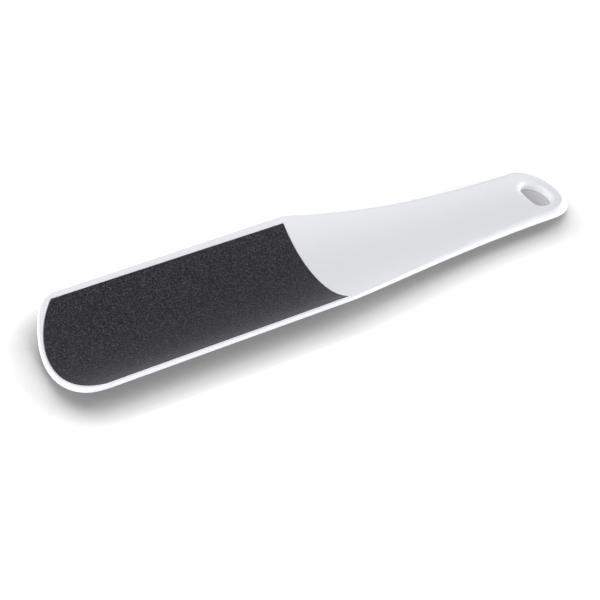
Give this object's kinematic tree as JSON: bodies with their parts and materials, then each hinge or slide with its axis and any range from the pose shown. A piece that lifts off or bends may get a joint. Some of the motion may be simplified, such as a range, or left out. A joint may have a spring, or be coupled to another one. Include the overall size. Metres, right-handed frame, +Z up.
{
  "type": "foot file",
  "caption": "Trough-shaped white plastic paddle with a dark abrasive sheet glued to each face and a hanging hole in the tail.",
  "frame": {"origin": "under the middle of the length, on the surface that the round face lies on", "axes": "+X from the nose to the tail with the hanging hole, +Z up out of the hollow face"},
  "size_m": [0.24, 0.056, 0.0132],
  "materials": {
    "white_plastic": "semi-gloss moulded",
    "adhesive": "clear amber, dull",
    "backing": "dull resin-soaked paper",
    "grit": "rough, bonded mineral grains"
  },
  "bodies": {
    "root": {"paddle": "white_plastic", "front_adhesive": "adhesive", "front_backing": "backing", "front_grit": "grit", "rear_adhesive": "adhesive", "rear_backing": "backing", "rear_grit": "grit"}
  },
  "joints": []
}
